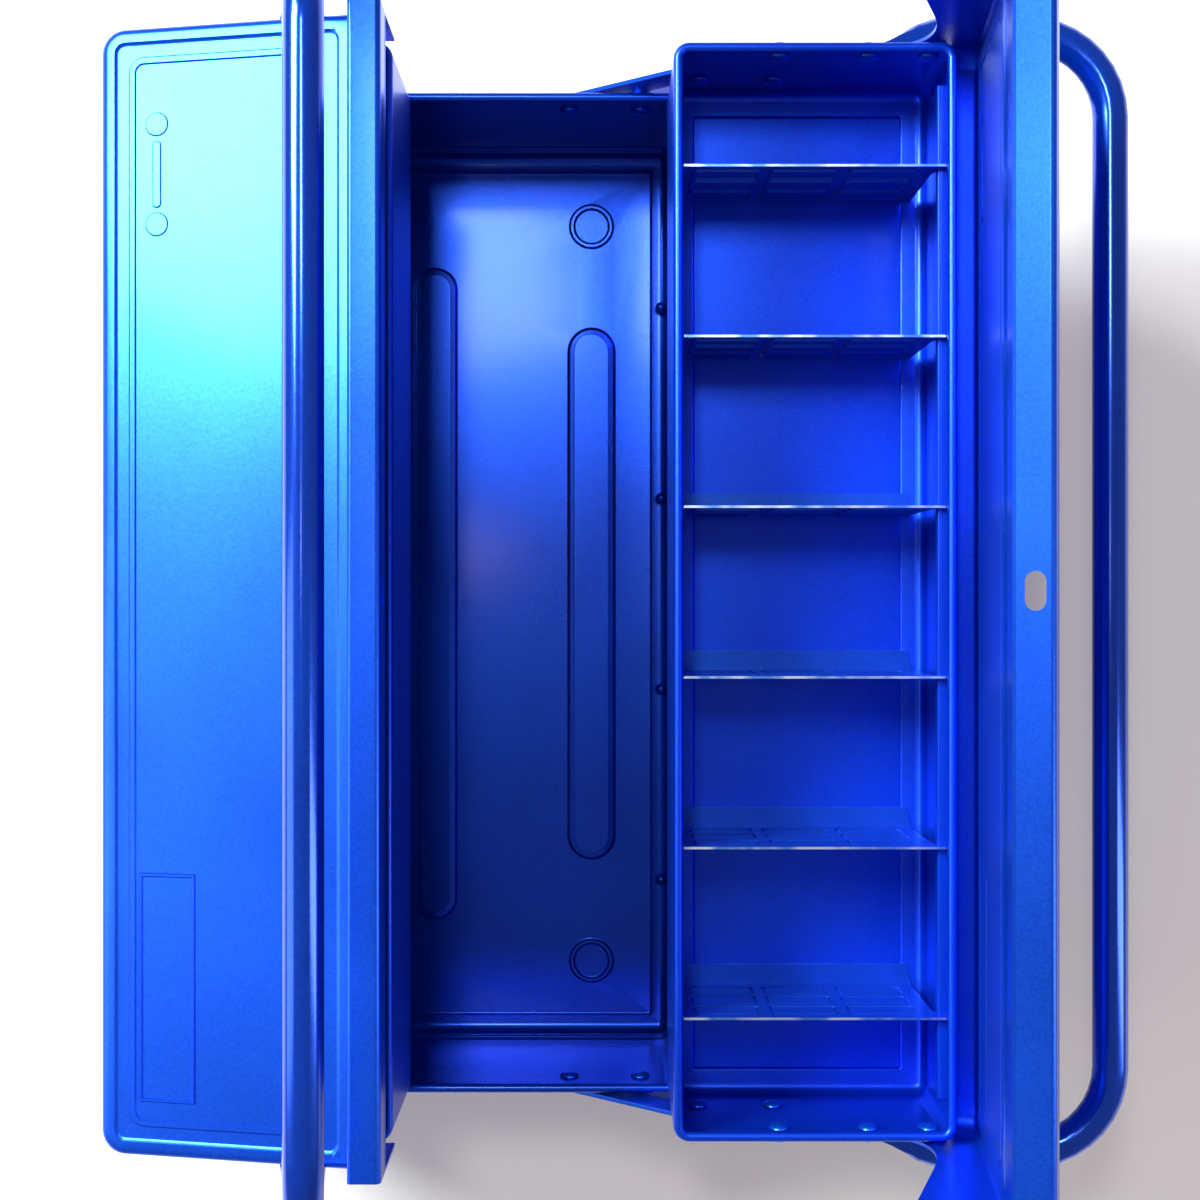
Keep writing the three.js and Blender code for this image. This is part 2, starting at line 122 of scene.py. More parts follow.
# the curl's end tucking back to the wall: inset, and drop below the rim
CURL_TUCK = [(CURL - 0.3 * MM, 2.9 * MM), (SHEET + 0.5 * MM, 3.2 * MM), (SHEET, 3.8 * MM)]
FLOOR_FILLET = 4 * MM
FOOT_FILLET = 2.5 * MM
FOOT_STEPS = 3
RIM_STEPS = 6
FILLET_STEPS = 4
ARC_STEPS = 6
TIGHTEST_CORNER = 0.3 * MM
FOLD_CORNER = 0.8 * MM
ROUND_END = 0.01 * MM  # a round end stops this short of a half circle, so its sides keep apart
LEAST_RADIUS = 0.05 * MM
BEAD_HALF = (0.7 * MM, 1.4 * MM)  # half heights of a bead's crest and foot
BASE_BEADS = [(16 * MM, 0.7 * MM), (11 * MM, 0.7 * MM)]  # above the floor, and how proud
BASE_FOLD = [(3.4 * MM, 0), (4 * MM, 0.5 * MM), (4.6 * MM, 0)]  # inset from the fillet, and rise
SHARP_ANGLE = math.radians(38)
MERGE_DISTANCE = 0.002 * MM
WELD_DISTANCE = 0.01 * MM  # joins runs of points that meet

FLAKE_SCALE = 1500
FLAKE_SHARE = 0.35
MOTTLE_SCALE = 9
PEEL_SCALE = 420
PEEL_STRENGTH = 0.05
PEEL_HEIGHT = 0.0004
NOISE_DETAIL = 2
GLOSS_SPREAD = (-0.03, 0.04)


def enamel(name, dark, bright, roughness, grain=1.0, coat=0.13):
    """Metallic stoving enamel: fine flake, a soft mottle, orange peel and a clear gloss coat."""
    paint = bpy.data.materials.new(name)
    paint.use_nodes = True
    tree = paint.node_tree
    shader = tree.nodes["Principled BSDF"]
    place = tree.nodes.new("ShaderNodeTexCoord")
    flake = tree.nodes.new("ShaderNodeTexVoronoi")
    flake.inputs["Scale"].default_value = FLAKE_SCALE
    mottle = tree.nodes.new("ShaderNodeTexNoise")
    mottle.inputs["Scale"].default_value = MOTTLE_SCALE
    mottle.inputs["Detail"].default_value = NOISE_DETAIL
    peel = tree.nodes.new("ShaderNodeTexNoise")
    peel.inputs["Scale"].default_value = PEEL_SCALE
    peel.inputs["Detail"].default_value = NOISE_DETAIL
    for node in (flake, mottle, peel):
        tree.links.new(place.outputs["Object"], node.inputs["Vector"])
    blend = tree.nodes.new("ShaderNodeMath")
    blend.operation = "MULTIPLY_ADD"
    blend.inputs[1].default_value = FLAKE_SHARE
    tree.links.new(flake.outputs["Color"], blend.inputs[0])
    tree.links.new(mottle.outputs["Fac"], blend.inputs[2])
    ramp = tree.nodes.new("ShaderNodeValToRGB")
    ramp.color_ramp.elements[0].position = 0.2
    ramp.color_ramp.elements[0].color = (*dark, 1)
    ramp.color_ramp.elements[1].position = 1.0
    ramp.color_ramp.elements[1].color = (*bright, 1)
    tree.links.new(blend.outputs[0], ramp.inputs["Fac"])
    tree.links.new(ramp.outputs["Color"], shader.inputs["Base Color"])
    gloss = tree.nodes.new("ShaderNodeMapRange")
    gloss.inputs["To Min"].default_value = roughness + GLOSS_SPREAD[0]
    gloss.inputs["To Max"].default_value = roughness + GLOSS_SPREAD[1]
    tree.links.new(mottle.outputs["Fac"], gloss.inputs["Value"])
    tree.links.new(gloss.outputs["Result"], shader.inputs["Roughness"])
    relief = tree.nodes.new("ShaderNodeBump")
    relief.inputs["Strength"].default_value = PEEL_STRENGTH * grain
    relief.inputs["Distance"].default_value = PEEL_HEIGHT
    tree.links.new(peel.outputs["Fac"], relief.inputs["Height"])
    tree.links.new(relief.outputs["Normal"], shader.inputs["Normal"])
    shader.inputs["Metallic"].default_value = 0.78
    shader.inputs["Coat Weight"].default_value = coat
    shader.inputs["Coat Roughness"].default_value = 0.12
    return paint


# the same blue enamel as the other parts, made darker: painted shade for the shadow that falls
# inside the deep base
body_enamel_shaded = enamel("body_enamel_shaded", (0.0, 0.024, 0.3), (0.001, 0.06, 0.58), 0.27)


def ring(bm, x0, y0, x1, y1, radius, z):
    """The edges of one closed ring: a rectangle with round corners at height z."""
    quarter = math.tau / 4
    points = []
    corners = [(x1 - radius, y0 + radius), (x1 - radius, y1 - radius),
               (x0 + radius, y1 - radius), (x0 + radius, y0 + radius)]
    for number, (cx, cy) in enumerate(corners):
        for i in range(ARC_STEPS + 1):
            turn = quarter * (number - 1 + i / ARC_STEPS)
            place = (cx + radius * math.cos(turn), cy + radius * math.sin(turn), z)
            points.append(bm.verts.new(place))
    return [bm.edges.new((points[i - 1], points[i])) for i in range(len(points))]


def carry(bm, edges, old, new):
    """Extrudes a ring and moves the copy on to its own outline: x0, y0, x1, y1, radius, z."""
    made = bmesh.ops.extrude_edge_only(bm, edges=edges)["geom"]
    for vert in (g for g in made if isinstance(g, bmesh.types.BMVert)):
        for axis in (0, 1):
            side = 1 if vert.co[axis] > (old[axis] + old[axis + 2]) / 2 else -1
            edge = axis + 2 if side > 0 else axis
            from_face, to_face = old[edge], new[edge]
            share = (vert.co[axis] - from_face + side * old[4]) / old[4]
            vert.co[axis] = to_face + (share - side) * new[4]
        vert.co.z = new[5]
    return [g for g in made if isinstance(g, bmesh.types.BMEdge)]


def press(bm, x0, y0, x1, y1, radius, z, steps, close=True):
    """Rings going inward from a rectangle, each step an inset and a rise.

    It gives back the first ring's edges, with the last ring's too if the middle is left open.
    """
    outlines = [(x0 + inset, y0 + inset, x1 - inset, y1 - inset,
                 max(radius - inset, LEAST_RADIUS), z + rise) for inset, rise in steps]
    first = last = ring(bm, *outlines[0])
    for old, new in zip(outlines, outlines[1:]):
        last = carry(bm, last, old, new)
    if close:
        bmesh.ops.edgeloop_fill(bm, edges=last)
    return first if close else (first, last)


def sheet_with(bm, outer, holes):
    """The flat sheet between an outer ring and the rings pressed into it."""
    edges = list(outer) + [edge for hole in holes for edge in hole]
    bmesh.ops.triangle_fill(
        bm, use_beauty=True, use_dissolve=False, edges=edges, normal=(0, 0, 1))


def finish_mesh(bm, name, body, paints, replaced, recalculate=True):
    """Cleans a mesh, marks its hard edges, and hangs it on its body in place of the CAD node."""
    bmesh.ops.remove_doubles(bm, verts=bm.verts, dist=MERGE_DISTANCE)
    if recalculate:
        bmesh.ops.recalc_face_normals(bm, faces=bm.faces)
    for face in bm.faces:
        face.smooth = True
    for edge in bm.edges:
        edge.smooth = len(edge.link_faces) == 2 and edge.calc_face_angle(0) < SHARP_ANGLE
    data = bpy.data.meshes.new(name)
    bm.to_mesh(data)
    bm.free()
    for paint in paints:
        data.materials.append(paint)
    piece = bpy.data.objects.new(name, data)
    bpy.context.scene.collection.objects.link(piece)
    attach(piece, body)
    if replaced:
        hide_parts(*replaced)
    shade = piece.modifiers.new("flat_stays_flat", "WEIGHTED_NORMAL")
    shade.keep_sharp = True
    return piece


def quarter_turn(steps):
    """Sine and cosine at even steps through a quarter turn."""
    turns = [math.radians(90 * i / steps) for i in range(steps + 1)]
    return [(math.sin(turn), math.cos(turn)) for turn in turns]


def tub(bm, low, high, beads, floor_steps, features):
    """A drawn tub with a rolled rim: rings up the outside, over the curl, and down to the floor."""
    top = high.z
    floor = low.z + SHEET
    profile = [(FOOT_FILLET * (1 - sine), low.z + FOOT_FILLET * (1 - cosine))
               for sine, cosine in quarter_turn(FOOT_STEPS)]
    half = CURL / 2
    for i in range(RIM_STEPS + 1):
        turn = math.pi * (1 - i / RIM_STEPS)
        profile.append((half + half * math.cos(turn), top - half + half * math.sin(turn)))
    profile += [(inset, top - drop) for inset, drop in CURL_TUCK]
    crest, foot = BEAD_HALF
    for height, proud in beads:
        middle = floor + height
        profile += [(SHEET, middle + foot), (SHEET + proud, middle + crest)]
        profile += [(SHEET + proud, middle - crest), (SHEET, middle - foot)]
    profile += [(SHEET + FLOOR_FILLET * (1 - cosine), floor + FLOOR_FILLET * (1 - sine))
                for sine, cosine in quarter_turn(FILLET_STEPS)]
    outlines = [(low.x + inset, low.y + inset, high.x - inset, high.y - inset,
                 max(WALL_CORNER - inset, TIGHTEST_CORNER), height) for inset, height in profile]
    start = SHEET + FLOOR_FILLET
    for inset, rise in floor_steps:
        outlines.append((low.x + start + inset, low.y + start + inset, high.x - start - inset,
                         high.y - start - inset, FOLD_CORNER, floor + rise))
    first = last = ring(bm, *outlines[0])
    for old, new in zip(outlines, outlines[1:]):
        last = carry(bm, last, old, new)
    bmesh.ops.edgeloop_fill(bm, edges=first)
    sheet_with(bm, last, [press(bm, *place, floor, steps) for place, steps in features])


# each pressing goes inward by steps: inset, and rise above the floor
RIB_STEPS = [(0, 0), (0.5 * MM, 0.2 * MM), (1.1 * MM, 0.8 * MM), (1.7 * MM, 1.0 * MM),
             (2.9 * MM, 1.0 * MM), (3.4 * MM, 1.2 * MM), (4.0 * MM, 1.2 * MM)]
RING_STEPS = [(0, 0), (0.5 * MM, 0.2 * MM), (1.2 * MM, 0.9 * MM), (2.2 * MM, 0.9 * MM),
              (2.9 * MM, 0.2 * MM), (3.4 * MM, 0)]
SIDE_RIB_X = 73 * MM
RING_Y = 172 * MM
RING_RADIUS = 10.8 * MM
SIDE_RIB = (11.5 * MM, 125 * MM)  # half width and half length
CENTRE_RIB = (10.5 * MM, 153 * MM)
WELD_COUNT = 4
WELD_PITCH = 89 * MM
WELD_RADIUS = 2.8 * MM
WELD_INSET = 4.5 * MM


def round_ended(x, y, half_width, half_length):
    """The outline of a pressing with round ends about a middle."""
    return (x - half_width, y - half_length, x + half_width, y + half_length,
            half_width - ROUND_END)


floor_features = [(round_ended(0, 0, *CENTRE_RIB), RIB_STEPS)]
for side in (-1, 1):
    x = side * SIDE_RIB_X
    floor_features.append((round_ended(x, 0, *SIDE_RIB), RIB_STEPS))
    for end in (-1, 1):
        outline = round_ended(x, end * RING_Y, RING_RADIUS, RING_RADIUS)
        floor_features.append((outline, RING_STEPS))

base_low, base_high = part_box("base_tub")
bm = bmesh.new()
tub(bm, base_low, base_high, BASE_BEADS, BASE_FOLD, floor_features)
for side in (-1, 1):
    for i in range(WELD_COUNT):
        made = bmesh.ops.create_uvsphere(bm, u_segments=16, v_segments=8, radius=WELD_RADIUS)
        along = (i - (WELD_COUNT - 1) / 2) * WELD_PITCH
        place = Vector((side * (base_high.x - WELD_INSET), along, base_low.z + WELD_INSET))
        bmesh.ops.translate(bm, verts=made["verts"], vec=place)
finish_mesh(bm, "base_shell", "base", [body_enamel_shaded], ["base_tub"])


# ---- Trays ----
# Each tray is a shallow tub of the same sheet with the same rolled rim. A narrow rail is welded
# inside its outer wall, and the dividers' tabs hook into it.
tray_enamel = enamel("tray_enamel", (0.0, 0.026, 0.4), (0.001, 0.065, 0.72), 0.36)
RAIL_WIDTH = 5 * MM
RAIL_DROP = 9 * MM
RAIL_HEIGHT = 5 * MM
RAIL_END = 14 * MM
RAIL_ROUNDING = 0.6 * MM
TRAY_FOLD = [(5 * MM, 0), (5.6 * MM, -0.5 * MM), (6.2 * MM, 0)]
SIDES = {"left": -1, "right": 1}


def bar(bm, low, high, rounding):
    """A small bar with softened edges."""
    made = bmesh.ops.create_cube(bm, size=1)
    size = Vector(high) - Vector(low)
    bmesh.ops.scale(bm, verts=made["verts"], vec=size)
    bmesh.ops.translate(bm, verts=made["verts"], vec=(Vector(low) + Vector(high)) / 2)
    edges = list({e for v in made["verts"] for e in v.link_edges})
    bmesh.ops.bevel(
        bm, geom=edges, offset=rounding, segments=2, affect="EDGES", profile=0.5, material=-1)


for label, side in SIDES.items():
    low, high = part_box(f"tray_{label}")
    bm = bmesh.new()
    tub(bm, low, high, [], TRAY_FOLD, [])
    finish_mesh(bm, f"tray_shell_{label}", f"tray_body_{label}", [tray_enamel],
                [f"tray_{label}"])
    wall = (high.x if side > 0 else low.x) - side * SHEET
    bm = bmesh.new()
    xs = sorted([wall - side * RAIL_WIDTH, wall])
    bar(bm, (xs[0], low.y + RAIL_END, high.z - RAIL_DROP - RAIL_HEIGHT),
        (xs[1], high.y - RAIL_END, high.z - RAIL_DROP), RAIL_ROUNDING)
    finish_mesh(bm, f"divider_rail_{label}", f"tray_body_{label}", [tray_enamel],
                [])


# ---- Dividers ----
# Partitions of thin painted sheet with nine stiffening cells pressed in, a round-cornered tab that
# hooks over the rail, and cut edges where the paint has worn to bare steel.
divider_enamel = enamel("divider_enamel", (0.002, 0.04, 0.32), (0.008, 0.1, 0.62), 0.34)
DIVIDER_SHEET = 0.9 * MM
DIVIDER_COUNT = 6
DIVIDER_FOOT = 9 * MM
FOOT_TAPER = 2 * MM
SHEET_MIDDLE = 0.5 * MM  # from the node's front face to the sheet's middle
CELL_STEPS = [(0, 0), (0.5 * MM, -0.7 * MM), (1.4 * MM, -0.7 * MM), (1.9 * MM, -0.1 * MM)]
CELL_COLUMNS = 3
CELL_ROWS = 3
CELL_MARGIN = 6 * MM
CELL_GAP = 3 * MM
CELL_CORNER = 2.2 * MM
TAB_NECK = ((-0.5 * MM, 14 * MM), (0.5 * MM, 10 * MM))  # past the rail's face, and below the top
TAB_DEPTH = 6 * MM
TAB_NOSE = (2 * MM, 1 * MM)
TAB_CORNER = 2.5 * MM
INNER_CORNER = 3 * MM
CORNER_STEPS = 4

worn_steel = bpy.data.materials.new("worn_steel_edge")
worn_steel.use_nodes = True
worn_shader = worn_steel.node_tree.nodes["Principled BSDF"]
worn_shader.inputs["Metallic"].default_value = 1.0
worn_shader.inputs["Roughness"].default_value = 0.34
worn_place = worn_steel.node_tree.nodes.new("ShaderNodeTexCoord")
worn_noise = worn_steel.node_tree.nodes.new("ShaderNodeTexNoise")
worn_noise.inputs["Scale"].default_value = 90
worn_ramp = worn_steel.node_tree.nodes.new("ShaderNodeValToRGB")
worn_ramp.color_ramp.elements[0].position = 0.4
worn_ramp.color_ramp.elements[0].color = (0.10, 0.28, 0.75, 1)
worn_ramp.color_ramp.elements[1].position = 0.62
worn_ramp.color_ramp.elements[1].color = (0.72, 0.80, 0.9, 1)
worn_steel.node_tree.links.new(worn_place.outputs["Object"], worn_noise.inputs["Vector"])
worn_steel.node_tree.links.new(worn_noise.outputs["Fac"], worn_ramp.inputs["Fac"])
worn_steel.node_tree.links.new(worn_ramp.outputs["Color"], worn_shader.inputs["Base Color"])


def thicken(piece, thickness, offset, rim_material=0):
    """Gives a piece its sheet's thickness, before its normals are weighted."""
    wall = piece.modifiers.new("sheet", "SOLIDIFY")
    wall.thickness = thickness
    wall.offset = offset
    wall.material_offset_rim = rim_material
    piece.modifiers.move(len(piece.modifiers) - 1, 0)


def divider_sheet(bm, width, height, rail):
    """The upright sheet, drawn flat: round top corners, a tab over the rail, pressed cells."""
    body = width - rail
    outline = [(0, 0), (body + TAB_NECK[0][0], 0)]
    outline += [(body + past, height - below) for past, below in TAB_NECK]
    nose, rise = TAB_NOSE
    for sine, cosine in quarter_turn(CORNER_STEPS):
        outline.append((width - nose + nose * sine, height - TAB_DEPTH + rise - rise * cosine))
    for sine, cosine in quarter_turn(CORNER_STEPS):
        outline.append((width - TAB_CORNER + TAB_CORNER * cosine,
                        height - TAB_CORNER + TAB_CORNER * sine))
    for sine, cosine in quarter_turn(CORNER_STEPS):
        outline.append((INNER_CORNER - INNER_CORNER * sine,
                        height - INNER_CORNER + INNER_CORNER * cosine))
    points = [bm.verts.new((x, y, 0)) for x, y in outline]
    edges = [bm.edges.new((points[i - 1], points[i])) for i in range(len(points))]
    cells = []
    cell_width = (body - 2 * CELL_MARGIN - CELL_GAP * (CELL_COLUMNS - 1)) / CELL_COLUMNS
    cell_height = (height - 2 * CELL_MARGIN - CELL_GAP * (CELL_ROWS - 1)) / CELL_ROWS
    for column in range(CELL_COLUMNS):
        for row in range(CELL_ROWS):
            x = CELL_MARGIN + column * (cell_width + CELL_GAP)
            y = CELL_MARGIN + row * (cell_height + CELL_GAP)
            cells.append(press(bm, x, y, x + cell_width, y + cell_height, CELL_CORNER, 0,
                               CELL_STEPS))
    sheet_with(bm, edges, cells)


for label, side in SIDES.items():
    for number in range(1, DIVIDER_COUNT + 1):
        node = f"divider_{label}_{number}"
        low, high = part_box(node)
        inner_x = low.x if side > 0 else high.x
        rail_x = high.x - RAIL_WIDTH if side > 0 else low.x + RAIL_WIDTH
        front_y = low.y + SHEET_MIDDLE
        bm = bmesh.new()
        divider_sheet(bm, high.x - low.x, high.z - low.z, RAIL_WIDTH)
        upright = Matrix(((side, 0, 0, inner_x), (0, 0, 1, front_y), (0, 1, 0, low.z),
                          (0, 0, 0, 1)))
        bmesh.ops.transform(bm, matrix=upright, verts=bm.verts)
        foot_xs = sorted([inner_x, rail_x])
        foot_points = [(foot_xs[0], front_y), (foot_xs[1], front_y),
                       (foot_xs[1] - FOOT_TAPER, low.y + DIVIDER_FOOT),
                       (foot_xs[0] + FOOT_TAPER, low.y + DIVIDER_FOOT)]
        foot = [bm.verts.new((x, y, low.z)) for x, y in foot_points]
        bmesh.ops.contextual_create(bm, geom=foot)
        piece = finish_mesh(bm, f"partition_{label}_{number}", f"tray_body_{label}",
                            [divider_enamel, worn_steel], [node])
        thicken(piece, DIVIDER_SHEET, 0, rim_material=1)


# ---- Lids ----
# Each lid is one pressed sheet: it slopes up to the middle, has two framed steps, a blank label
# panel, a small spanner mark, a rounded skirt with two hinge ears, and an upstanding lipped crest
# with a padlock hole.
lid_enamel = enamel("lid_enamel", (0.0, 0.042, 0.42), (0.008, 0.1, 0.78), 0.3, coat=0.06)
LID_SWING = math.radians(72)
TRAVEL = 104 * MM
CENTRE_GAP = 0.5 * MM
LID_OUTER = 108.9 * MM
LID_END = 209.3 * MM
LID_EDGE_Z = 186.7 * MM
LID_RISE = 24 * MM
SKIRT_Z = 175.7 * MM
LID_CORNER = 9 * MM
LID_ROUND = 3 * MM
LID_ROUND_STEPS = 4
LEAST_PLAN_CORNER = 0.5 * MM
END_POINTS = (0, 20 * MM, 60 * MM)  # along each end, from the inner edge
CREST_HEIGHT = 13 * MM
CREST_WIDTH = 12 * MM
CREST_BEND = 2.2 * MM
CREST_LIP_BEND = 1.6 * MM
CREST_LIP_DROP = 3.5 * MM
BEND_STEPS = 6
HASP_HALF = (6.5 * MM, 3.5 * MM)  # half length and half width
HASP_LIFT = 0.3 * MM  # above the crest's middle
HASP_SIDE = 0.05 * MM  # straight part left at each side of the hole
LID_PIVOT = Vector((98.5 * MM, 0, 168 * MM))
EAR_RADIUS = 7.5 * MM
EAR_RUN = 38 * MM
EAR_WRAP = math.radians(126)
EAR_ROUND_STEPS = 12
EAR_SLOPE_STEPS = 8
STEP_DOWN = [(0, 0), (0.9 * MM, -0.8 * MM), (1.5 * MM, -0.9 * MM)]
RIDGE = [(0, 0), (0.6 * MM, 0.7 * MM), (2.4 * MM, 0.7 * MM), (3.0 * MM, 0)]
LABEL_STEPS = [(0, 0), (0.5 * MM, 0.7 * MM), (1.1 * MM, 0.7 * MM), (1.6 * MM, 0)]
MARK_STEPS = [(0, 0), (0.5 * MM, 0.6 * MM), (1.0 * MM, 0.6 * MM)]
PANEL_DROP = 0.9 * MM  # the framed panel lies this far below the lid's top
# each frame: inner edge, outer edge, inset from the lid's ends, corner
STEP_FRAME = (17 * MM, 103.5 * MM, 5.4 * MM, 4 * MM)
RIDGE_FRAME = (25 * MM, 98 * MM, 11 * MM, 6 * MM)
LABEL = (72 * MM, -189 * MM, 94 * MM, -104 * MM)
LABEL_CORNER = 0.8 * MM
SPANNER_X = 87 * MM
SPANNER_EYES = (136 * MM, 173 * MM)
EYE = (4.5 * MM, 4.4 * MM)  # half size and corner
SHANK = (1.8 * MM, 1.7 * MM)
SHANK_GAP = 6 * MM  # from an eye's middle to the shank's end


def lid_plan(inset):
    """Plan points of the skirt, open towards the middle of the box."""
    reach = LID_OUTER - inset
    end = LID_END - inset
    radius = max(LID_CORNER - inset, LEAST_PLAN_CORNER)
    points = [(CENTRE_GAP + along, -end) for along in END_POINTS]
    for centre_y, start in ((radius - end, -90), (end - radius, 0)):
        for i in range(ARC_STEPS + 1):
            turn = math.radians(start + 90 * i / ARC_STEPS)
            points.append((reach - radius + radius * math.cos(turn),
                           centre_y + radius * math.sin(turn)))
    return points + [(CENTRE_GAP + along, end) for along in reversed(END_POINTS)]


def lid_slope(x):
    """How far the lid has risen above its outer edge."""
    return LID_RISE * (LID_OUTER - x) / (LID_OUTER - CENTRE_GAP)


def chain(bm, points):
    """The edges of an open run of points."""
    verts = [bm.verts.new(p) for p in points]
    return [bm.edges.new((verts[i - 1], verts[i])) for i in range(1, len(verts))]


def closed_chain(bm, points):
    """The edges of a run of points that closes on itself."""
    edges = chain(bm, points)
    return edges + [bm.edges.new((edges[-1].verts[1], edges[0].verts[0]))]


def framed(bm, frame_sizes, z, steps):
    """A pressed frame that follows the lid's outline: its outer and its inner ring."""
    inner_x, outer_x, end_inset, corner = frame_sizes
    return press(bm, inner_x, end_inset - LID_END, outer_x, LID_END - end_inset, corner, z, steps,
                 close=False)


def lid_ear(bm, end):
    """A hinge ear running on down from an end skirt: round its pivot and back up the slope."""
    y = end * LID_END
    points = []
    for i in range(EAR_ROUND_STEPS + 1):
        turn = -EAR_WRAP * i / EAR_ROUND_STEPS
        points.append((LID_PIVOT.x + EAR_RADIUS * math.cos(turn), y,
                       LID_PIVOT.z + EAR_RADIUS * math.sin(turn)))
    start = Vector(points[-1])
    knee = Vector((LID_PIVOT.x - EAR_RUN / 3, y, SKIRT_Z))
    stop = Vector((LID_PIVOT.x - EAR_RUN, y, SKIRT_Z))
    for i in range(1, EAR_SLOPE_STEPS + 1):
        t = i / EAR_SLOPE_STEPS
        points.append(start * (1 - t) ** 2 + knee * 2 * t * (1 - t) + stop * t ** 2)
    points.append((LID_PIVOT.x + EAR_RADIUS, y, SKIRT_Z))
    bmesh.ops.triangle_fill(
        bm, use_beauty=True, use_dissolve=False, edges=closed_chain(bm, points),
        normal=(0, 1, 0))


def lid_panel():
    """The pressed sheet, shut, on the +X side; Solidify gives it its wall afterwards."""
    bm = bmesh.new()
    top = LID_EDGE_Z
    panel = top - PANEL_DROP
    # the top, drawn flat and then sheared up to the slope
    rim_edges = closed_chain(bm, [(x, y, top) for x, y in lid_plan(LID_ROUND)])
    marks = [press(bm, *LABEL, LABEL_CORNER, panel, LABEL_STEPS)]
    half, corner = EYE
    for y in SPANNER_EYES:
        marks.append(press(bm, SPANNER_X - half, y - half, SPANNER_X + half, y + half, corner,
                           panel, MARK_STEPS))
    half, corner = SHANK
    marks.append(press(bm, SPANNER_X - half, SPANNER_EYES[0] + SHANK_GAP, SPANNER_X + half,
                       SPANNER_EYES[1] - SHANK_GAP, corner, panel, MARK_STEPS))
    ridge_out, ridge_in = framed(bm, RIDGE_FRAME, panel, RIDGE)
    sheet_with(bm, ridge_in, marks)
    step_out, step_in = framed(bm, STEP_FRAME, top, STEP_DOWN)
    sheet_with(bm, step_in, [ridge_out])
    sheet_with(bm, rim_edges, [step_out])
    slope = -LID_RISE / (LID_OUTER - CENTRE_GAP)
    shear = Matrix(((1, 0, 0, 0), (0, 1, 0, 0), (slope, 0, 1, -slope * LID_OUTER), (0, 0, 0, 1)))
    bmesh.ops.transform(bm, matrix=shear, verts=bm.verts)
    # the rounded edge and the skirt
    last = None
    for sine, cosine in quarter_turn(LID_ROUND_STEPS):
        inset = LID_ROUND * (1 - sine)
        drop = LID_ROUND * (1 - cosine)
        now = chain(bm, [(x, y, top - drop + lid_slope(x)) for x, y in lid_plan(inset)])
        if last:
            bmesh.ops.bridge_loops(bm, edges=last + now)
        last = now
    now = chain(bm, [(x, y, SKIRT_Z) for x, y in lid_plan(0)])
    bmesh.ops.bridge_loops(bm, edges=last + now)
    for end in (-1, 1):
        lid_ear(bm, end)
    return bm


def lid_crest():
    """The lipped crest along the inner edge, with its padlock hole, as an open sheet."""
    bm = bmesh.new()
    foot = LID_EDGE_Z + LID_RISE - SHEET
    top = LID_EDGE_Z + LID_RISE + CREST_HEIGHT
    low_edge = chain(bm, [(foot, y, 0) for y in (-LID_END, LID_END)])
    corner = [bm.verts.new((top - CREST_BEND, y, 0)) for y in (LID_END, -LID_END)]
    a, b = low_edge[0].verts
    sides = [bm.edges.new(pair)
             for pair in ((b, corner[0]), (corner[0], corner[1]), (corner[1], a))]
    middle = (foot + top) / 2 + HASP_LIFT
    half_length, half_width = HASP_HALF
    hole = ring(bm, middle - half_width, -half_length, middle + half_width, half_length,
                half_width - HASP_SIDE, 0)
    sheet_with(bm, low_edge + sides, [hole])
    stand = Matrix(((0, 0, 1, CENTRE_GAP), (0, 1, 0, 0), (1, 0, 0, 0), (0, 0, 0, 1)))
    bmesh.ops.transform(bm, matrix=stand, verts=bm.verts)
    # over the bend, across the top and down the lip
    edge = CENTRE_GAP + CREST_WIDTH
    lip = CREST_LIP_BEND
    route = [(CENTRE_GAP + CREST_BEND * (1 - cosine), top - CREST_BEND + CREST_BEND * sine)
             for sine, cosine in quarter_turn(BEND_STEPS)]
    route += [(edge - lip + lip * sine, top - lip + lip * cosine)
              for sine, cosine in quarter_turn(FILLET_STEPS)]
    route.append((edge, top - CREST_LIP_DROP))
    last = None
    for x, z in route:
        now = chain(bm, [(x, -LID_END, z), (x, LID_END, z)])
        if last:
            bmesh.ops.bridge_loops(bm, edges=last + now)
        last = now
    return bm


def lid_place(side, opened):
    """From the shut +X lid to this side's lid where it stands."""
    pivot = Vector((side * LID_PIVOT.x, 0, LID_PIVOT.z))
    flip = Matrix.Scale(side, 4, Vector((1, 0, 0)))
    swing = Matrix.Rotation(side * LID_SWING if opened else 0, 4, "Y")
    shift = Matrix.Translation((side * TRAVEL if opened else 0, 0, 0))
    return shift @ Matrix.Translation(pivot) @ swing @ Matrix.Translation(-pivot) @ flip


def face_outward(bm, inside):
    """Turns each sheet so that its faces look away from a point inside the shape."""
    bmesh.ops.remove_doubles(bm, verts=bm.verts, dist=WELD_DISTANCE)
    bmesh.ops.recalc_face_normals(bm, faces=bm.faces)
    seen = set()
    for seed in bm.faces:
        if seed in seen:
            continue
        island, queue = [], [seed]
        seen.add(seed)
        while queue:
            face = queue.pop()
            island.append(face)
            for edge in face.edges:
                for other in edge.link_faces:
                    if other not in seen:
                        seen.add(other)
                        queue.append(other)
        inward = sum((inside - f.calc_center_median()).dot(f.normal) * f.calc_area()
                     for f in island)
        if inward > 0:
            bmesh.ops.reverse_faces(bm, faces=island)


def lid_piece(bm, inside, side, name, replaced):
    """Faces a lid's sheet outwards, stands it on its side of the box and gives it its wall."""
    face_outward(bm, inside)
    bmesh.ops.transform(bm, matrix=lid_place(side, side > 0), verts=bm.verts)
    if side < 0:
        bmesh.ops.reverse_faces(bm, faces=bm.faces)
    piece = finish_mesh(bm, f"{name}_{label}", f"lid_body_{label}", [lid_enamel],
                        replaced, recalculate=False)
    thicken(piece, SHEET, -1)


